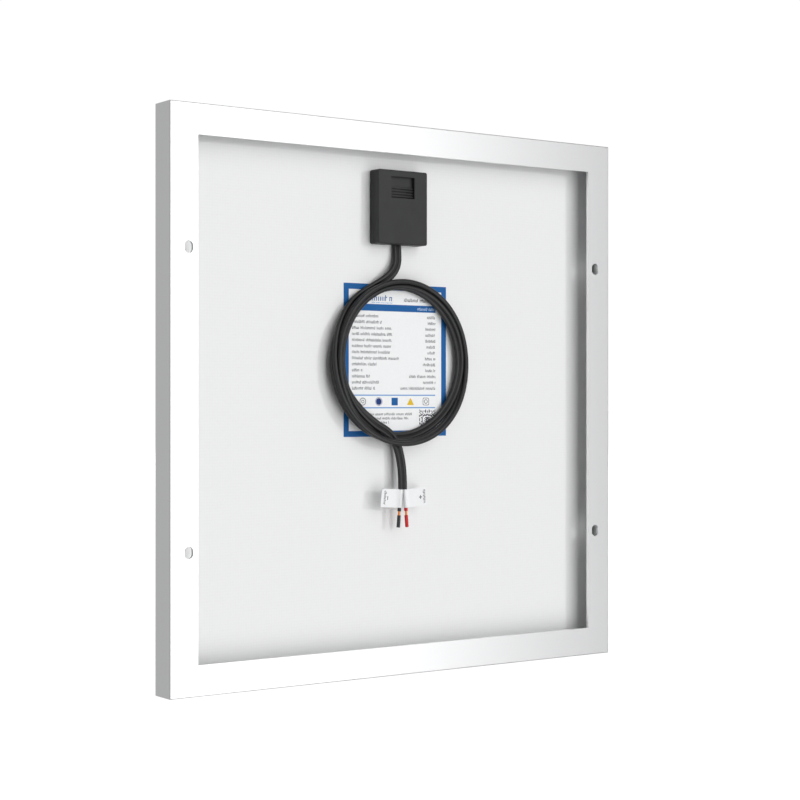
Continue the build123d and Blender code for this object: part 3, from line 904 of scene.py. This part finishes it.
def rating_label():
    """The label's film, and one thin print for each ink."""
    left, right = LABEL_X + LABEL_HALF, LABEL_X - LABEL_HALF
    thick = LABEL_FACE - LABEL_LOW.y / MM
    tiles(
        "label_film",
        [rounded(right, left, LABEL_BOTTOM, LABEL_TOP, 0.8)],
        on_label,
        materials["printed_label"],
        -thick,
        0.0,
        stands_for=("rating_label",),
    )
    inner_left, inner_right = left - BORDER_SIDE, right + BORDER_SIDE
    inner_low, inner_high = LABEL_BOTTOM + BORDER_END, LABEL_TOP - BORDER_END
    edge = 0.15
    blue = [
        bar(inner_left, left - edge, LABEL_BOTTOM + edge, LABEL_TOP - edge),
        bar(right + edge, inner_right, LABEL_BOTTOM + edge, LABEL_TOP - edge),
        bar(inner_right, inner_left, LABEL_BOTTOM + edge, inner_low),
        bar(inner_right, inner_left, inner_high, LABEL_TOP - edge),
        bar(TEXT_RIGHT - 0.3, TEXT_LEFT, 245.0, 249.6),
        bar(-1.0, 4.2, 181.2, 186.4),
    ]
    label_print("label_blue", blue, ink_blue)
    label_print("label_heading", strokes(22.8, 20.0, 251.9, 3.9, 21), ink_blue)
    sky = [bar(TEXT_RIGHT, TEXT_LEFT, z - 0.4, z + 0.4) for z in (188.1, 179.6)]
    sky += strokes(20.5, 17.0, 250.3, 0.8, 22)
    label_print("label_lines", sky, ink_sky)
    label_print("label_bar_words", strokes(-17.4, 14.6, 246.3, 2.0, 23), ink_pale, layer=2)
    words = strokes(-6.25, 26.0, 251.9, 2.3, 24)
    for row, (ends, starts) in enumerate(zip(ROW_LEFT_END, ROW_RIGHT_START)):
        base = ROW_TOP - ROW_PITCH * row
        words += strokes(TEXT_LEFT, TEXT_LEFT - ends, base, ROW_TALL, 40 + row)
        words += strokes(starts, starts - TEXT_RIGHT, base, ROW_TALL, 60 + row)
    for base, start, end in ((174.5, 29.0, -12.7), (171.7, 27.3, -9.9), (168.8, 26.1, 6.0)):
        words += strokes(start, start - end, base, 1.7, round(base))
    words += hoop(27.7, MARKS_Z, MARK_RADIUS, 0.45) + hoop(27.7, MARKS_Z, 1.2, 0.4)
    words += hoop(-24.6, MARKS_Z, MARK_RADIUS, 0.35, corner=0.35) + hoop(-24.6, MARKS_Z, 1.5, 0.4)
    label_print("label_words", words, ink_grey)
    badge = [disc(14.7, MARKS_Z, 2.3)] + hoop(14.7, MARKS_Z, 2.9, 0.25)
    label_print("label_disc", badge, ink_navy)
    yellow = [[(-14.5, 181.4), (-8.7, 181.4), (-11.6, 186.4)]]
    yellow += hoop(31.0, 254.5, 3.4, 1.3, first=60, sweep=200)
    label_print("label_yellow", yellow, ink_yellow)
    label_print("label_pattern", block_pattern(-32.85, 164.4, 13.9), ink_grey)


rating_label()


# ---------------------------------------------------------------- finer CAD shapes
SOFTENED = {
    # node: edge rounding in mm
    "jbox_base": 0.25,
    "lid_latch": 0.18,
    "cable_clamp": 0.2,
    "terminal_positive": 0.15,
    "terminal_negative": 0.15,
    "corner_keys": 0.3,
    "bypass_diode": 0.1,
}


def softened(name, width):
    """A copy of a CAD node with its sharp edges rounded."""
    node = frame["nodes"][name]
    mesh = node.data.copy()
    tidy = bmesh.new()
    tidy.from_mesh(mesh)
    bmesh.ops.remove_doubles(tidy, verts=tidy.verts, dist=0.002 * MM)
    bmesh.ops.dissolve_limit(
        tidy, angle_limit=math.radians(0.5), verts=tidy.verts, edges=tidy.edges
    )
    bmesh.ops.recalc_face_normals(tidy, faces=tidy.faces)
    tidy.to_mesh(mesh)
    tidy.free()
    mesh.polygons.foreach_set("use_smooth", [True] * len(mesh.polygons))
    holder = link(f"{name}_soft", mesh)
    rounding = holder.modifiers.new("rounding", "BEVEL")
    rounding.width = width * MM
    rounding.segments = 2
    rounding.limit_method = "ANGLE"
    rounding.angle_limit = math.radians(40)
    rounding.use_clamp_overlap = True
    rounding.harden_normals = True
    seen = holder.evaluated_get(bpy.context.evaluated_depsgraph_get())
    final = bpy.data.meshes.new_from_object(seen)
    final.materials.clear()
    bpy.data.objects.remove(holder)
    body = node["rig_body"]
    slot = node.data.materials[0].name
    return piece(f"{name}_finished", final, materials[slot], body, stands_for=(name,))


for name, width in SOFTENED.items():
    softened(name, width)


# ---------------------------------------------------------------- floor and light
FLOOR_SIZE = 56.0
FLOOR_GLOW = 0.95
BACKDROP_RADIUS = 30.0
BACKDROP_GLOW = 1.02
FILL = 0.25  # light from all round
AIM = Vector((0, 0, 0.185))
# light: degrees right of straight behind, degrees up, metres away, wide and tall, watts, on what
LIGHTS = {
    "softbox": (12.0, 0.0, 6.4, 5.8, 18.0, 560.0, "all"),
    "edge_light": (37.0, 8.0, 6.8, 0.45, 0.45, 78.0, "diffuse"),
    "front_light": (207.0, 0.0, 5.0, 5.0, 5.0, 18.0, "all"),
    "front_fill": (170.0, 25.0, 5.0, 3.0, 3.0, 150.0, "diffuse"),
    "left_card": (-45.0, 5.0, 6.4, 5.8, 10.4, 100.0, "glossy"),
}


def floor():
    """A pale floor that the camera sees and that lights nothing."""
    grid = bmesh.new()
    bmesh.ops.create_grid(grid, x_segments=8, y_segments=8, size=FLOOR_SIZE / 2)
    mesh = bpy.data.meshes.new("floor")
    grid.to_mesh(mesh)
    grid.free()
    made = link("floor", mesh)
    look = Finish("floor_paint", (0.25, 0.25, 0.25), 0.8, Specular_IOR_Level=0.0)
    look.grain(3, spread=0.01, rough_spread=0.02, bump=0.02)
    look.set("Emission Color", (1, 1, 1, 1))
    look.set("Emission Strength", FLOOR_GLOW)
    mesh.materials.append(look.material)
    made.visible_diffuse = False
    made.visible_glossy = False
    made.visible_shadow = False


def backdrop():
    """A white surround that only the camera sees."""
    ball = bmesh.new()
    bmesh.ops.create_icosphere(ball, subdivisions=4, radius=BACKDROP_RADIUS)
    mesh = bpy.data.meshes.new("backdrop")
    ball.to_mesh(mesh)
    ball.free()
    made = link("backdrop", mesh)
    paint = bpy.data.materials.new("backdrop_paint")
    paint.use_nodes = True
    shader = paint.node_tree.nodes["Principled BSDF"]
    shader.inputs["Base Color"].default_value = (0, 0, 0, 1)
    shader.inputs["Specular IOR Level"].default_value = 0.0
    shader.inputs["Emission Color"].default_value = (1, 1, 1, 1)
    shader.inputs["Emission Strength"].default_value = BACKDROP_GLOW
    mesh.materials.append(paint)
    for ray in ("diffuse", "glossy", "transmission", "volume_scatter", "shadow"):
        setattr(made, f"visible_{ray}", False)


def panel_light(name, right, up, away, wide, tall, power, on_what):
    """A softbox aimed at the panel that lights surfaces, shines in them, or does both."""
    data = bpy.data.lights.new(name, "AREA")
    data.shape = "RECTANGLE"
    data.size = wide
    data.size_y = tall
    data.energy = power
    made = link(name, data)
    right, up = math.radians(right), math.radians(up)
    flat = math.cos(up)
    way = Vector((-math.sin(right) * flat, math.cos(right) * flat, math.sin(up)))
    made.location = AIM + way * away
    made.rotation_euler = way.to_track_quat("Z", "Y").to_euler()
    made.visible_camera = False
    made.visible_diffuse = on_what in ("all", "diffuse")
    made.visible_glossy = on_what in ("all", "glossy")


floor()
backdrop()
for light, facts in LIGHTS.items():
    panel_light(light, *facts)

world = bpy.data.worlds.new("studio")
world.use_nodes = True
sky = world.node_tree.nodes["Background"]
sky.inputs["Color"].default_value = (1, 1, 1, 1)
sky.inputs["Strength"].default_value = FILL
scene.world = world
scene.view_settings.view_transform = "Standard"

bpy.context.view_layer.update()
